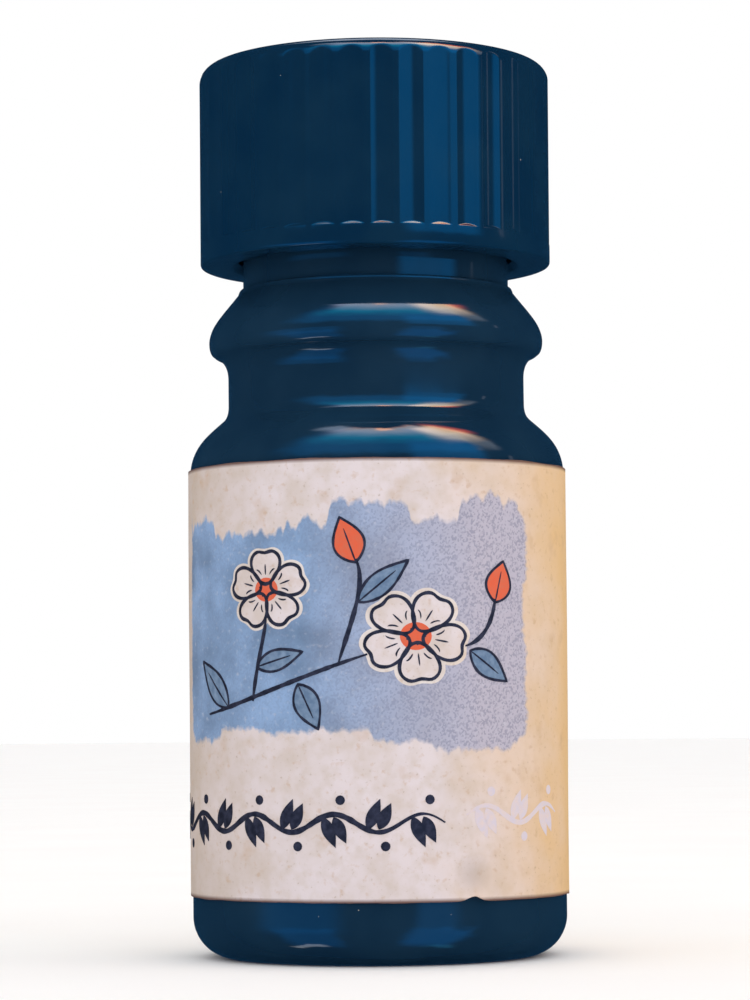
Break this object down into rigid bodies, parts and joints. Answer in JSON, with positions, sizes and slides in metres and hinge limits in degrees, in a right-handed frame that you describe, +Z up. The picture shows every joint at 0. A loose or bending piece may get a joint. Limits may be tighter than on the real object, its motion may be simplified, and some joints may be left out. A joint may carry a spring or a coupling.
{
  "type": "small glass bottle with screw cap",
  "caption": "Small shut bottle of opaque dark glass with a beaded neck, a fluted plastic screw cap and a wrap-round aged paper label.",
  "frame": {"origin": "middle of the base, on the surface that the bottle stands on", "axes": "+Z up along the bottle's axis, and -Y out of the middle of the label's front"},
  "size_m": [0.022, 0.0219, 0.0518],
  "materials": {
    "dark_glass": "smooth glossy moulded glass, so dark that it reads as opaque blue-black",
    "cap_plastic": "moulded black plastic, satin gloss, with upright flutes",
    "label_paper": "uncoated aged cream paper with stains, browned edges and a printed blue wash"
  },
  "bodies": {
    "root": {"bottle_glass": "dark_glass", "screw_cap": "cap_plastic", "paper_label": "label_paper"}
  },
  "joints": []
}
